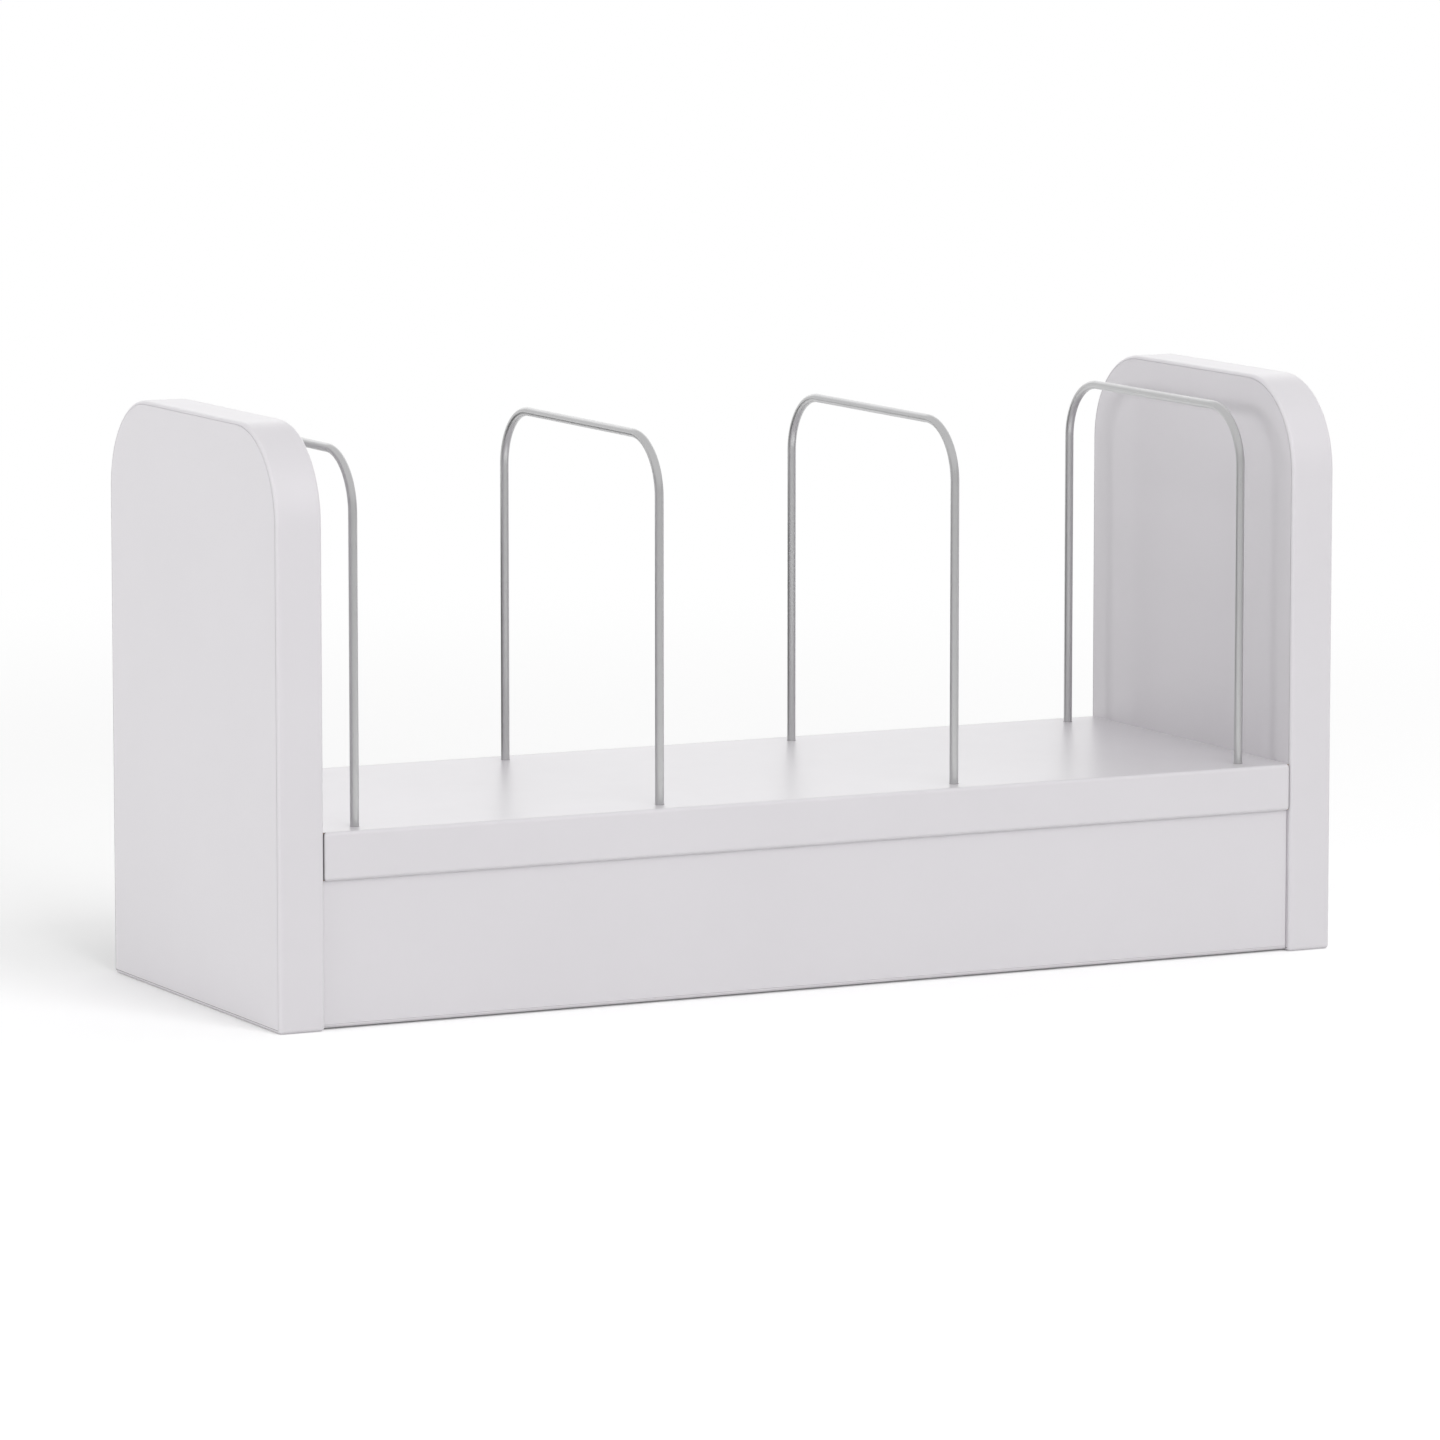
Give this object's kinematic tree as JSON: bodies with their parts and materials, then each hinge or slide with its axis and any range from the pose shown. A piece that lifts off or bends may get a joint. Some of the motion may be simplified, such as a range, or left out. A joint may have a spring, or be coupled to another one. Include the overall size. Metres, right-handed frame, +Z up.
{
  "type": "desktop shelf",
  "caption": "Low white desktop shelf with two round-cornered end boards, a raised shelf on a plinth rail, and bent steel wire dividers that lift out.",
  "frame": {"origin": "middle of the footprint, on the surface that the end boards stand on", "axes": "+X to the right along the shelf, +Y to the back, +Z up"},
  "size_m": [0.6, 0.214, 0.3],
  "materials": {
    "board": "smooth white melamine face on a wood-based board",
    "edge_band": "matt white plastic edge band",
    "wire": "satin steel rod",
    "dowel": "plain beech",
    "cam": "tumbled zinc",
    "bolt": "plated steel"
  },
  "bodies": {
    "shelf_unit": {"left_end_board": "board", "left_end_edge_band": "edge_band", "left_end_base_band": "edge_band", "right_end_board": "board", "right_end_edge_band": "edge_band", "right_end_base_band": "edge_band", "shelf_board": "board", "shelf_front_band": "edge_band", "shelf_back_band": "edge_band", "rail_board": "board", "rail_base_band": "edge_band", "shelf_dowels": "dowel", "rail_dowels": "dowel", "rail_top_dowels": "dowel", "shelf_cams": "cam", "rail_cams": "cam", "shelf_cam_bolts": "bolt", "rail_cam_bolts": "bolt"},
    "left_divider": {"divider_1": "wire"},
    "centre_left_divider": {"divider_2": "wire"},
    "centre_right_divider": {"divider_3": "wire"},
    "right_divider": {"divider_4": "wire"}
  },
  "joints": [
    {"name": "left_divider_lift", "type": "slide", "parent": "shelf_unit", "child": "left_divider", "axis": [0, 0, 1], "range_m": [0, 0.02]},
    {"name": "centre_left_divider_lift", "type": "slide", "parent": "shelf_unit", "child": "centre_left_divider", "axis": [0, 0, 1], "range_m": [0, 0.02]},
    {"name": "centre_right_divider_lift", "type": "slide", "parent": "shelf_unit", "child": "centre_right_divider", "axis": [0, 0, 1], "range_m": [0, 0.02]},
    {"name": "right_divider_lift", "type": "slide", "parent": "shelf_unit", "child": "right_divider", "axis": [0, 0, 1], "range_m": [0, 0.02]}
  ]
}
